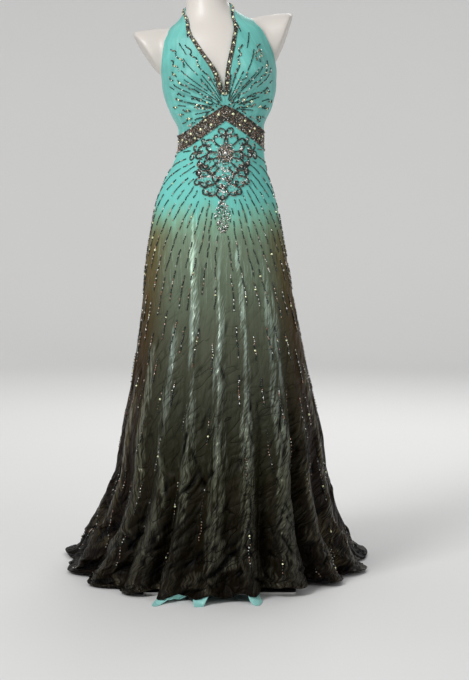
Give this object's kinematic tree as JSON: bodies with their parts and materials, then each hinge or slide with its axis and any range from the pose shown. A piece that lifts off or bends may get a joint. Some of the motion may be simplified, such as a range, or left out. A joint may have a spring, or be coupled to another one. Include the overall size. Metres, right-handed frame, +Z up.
{
  "type": "evening gown on a dress form",
  "caption": "Halter evening gown with a deep V neck, a beaded pointed waistband, an ombre skirt and a sweep train, on a limbless dress form with a square base.",
  "frame": {"origin": "centre of the underside of the stand's base", "axes": "+Z up; the gown's front faces -Y and its train lies behind, to +Y; the wearer's left is +X"},
  "size_m": [0.8326, 1.1217, 1.5498],
  "materials": {
    "bodice_silk": "satin-faced turquoise silk",
    "skirt_organza": "crinkled silk organza, turquoise to olive brown",
    "beading": "net covered with dark faceted glass beads",
    "lining_silk": "satin turquoise lining",
    "form_white": "smooth white moulded shell",
    "stand_steel": "satin"
  },
  "bodies": {
    "root": {"bodice_left": "bodice_silk", "bodice_right": "bodice_silk", "nape_fastening": "bodice_silk", "neckline_trim_left": "beading", "neckline_trim_right": "beading", "waistband_front": "beading", "waistband_back_left": "beading", "waistband_back_right": "beading", "skirt_front": "skirt_organza", "skirt_back_left": "skirt_organza", "skirt_back_right": "skirt_organza", "lining_hem": "lining_silk", "dress_form": "form_white", "stand_base": "stand_steel", "stand_pole": "stand_steel", "pole_collar": "stand_steel", "form_flange": "stand_steel"}
  },
  "joints": []
}
